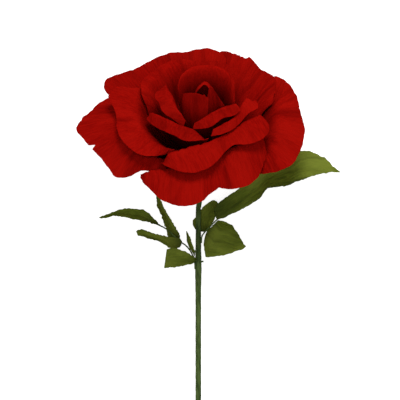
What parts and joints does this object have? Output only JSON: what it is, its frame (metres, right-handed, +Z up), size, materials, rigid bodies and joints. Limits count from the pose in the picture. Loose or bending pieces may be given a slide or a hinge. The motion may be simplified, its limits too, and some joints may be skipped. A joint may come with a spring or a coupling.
{
  "type": "crepe paper rose",
  "caption": "Crepe paper rose in full bloom on a wrapped wire stem with paper leaves, lying on its back.",
  "frame": {"origin": "on the surface that the rose lies on, under the middle of its bounding box", "axes": "+Z up off the surface, +Y from the stem's end towards the head, +X to the right seen from above with the head away"},
  "size_m": [0.2338, 0.436, 0.101],
  "materials": {
    "petal": "deep red crepe paper, matt, fine ribs from tail to rim",
    "leaf": "olive green crepe paper, matt, ribs along the leaf",
    "stem": "dark green crepe tape wound round the wire, matt",
    "rolled_paper": "tightly rolled red crepe paper, matt",
    "wire": "drawn steel wire, dull"
  },
  "bodies": {
    "root": {"bud_spindle": "rolled_paper", "bud_heart_petal": "petal", "bud_right_petal": "petal", "bud_front_petal": "petal", "inner_back_petal": "petal", "inner_left_petal": "petal", "inner_right_petal": "petal", "inner_front_petal": "petal", "middle_back_right_petal": "petal", "middle_back_left_petal": "petal", "middle_right_petal": "petal", "middle_left_petal": "petal", "middle_front_petal": "petal", "outer_back_left_petal": "petal", "outer_back_right_petal": "petal", "outer_left_petal": "petal", "outer_front_petal": "petal", "outer_right_petal": "petal", "calyx": "leaf", "stem_wire": "wire", "stem_wrap": "stem", "left_leaf_wire": "stem", "right_leaf_wire": "stem", "left_end_leaf": "leaf", "left_upper_leaf": "leaf", "left_lower_leaf": "leaf", "left_round_leaf": "leaf", "left_small_leaf": "leaf", "right_back_leaf": "leaf", "right_round_leaf": "leaf", "right_end_leaf": "leaf"}
  },
  "joints": []
}
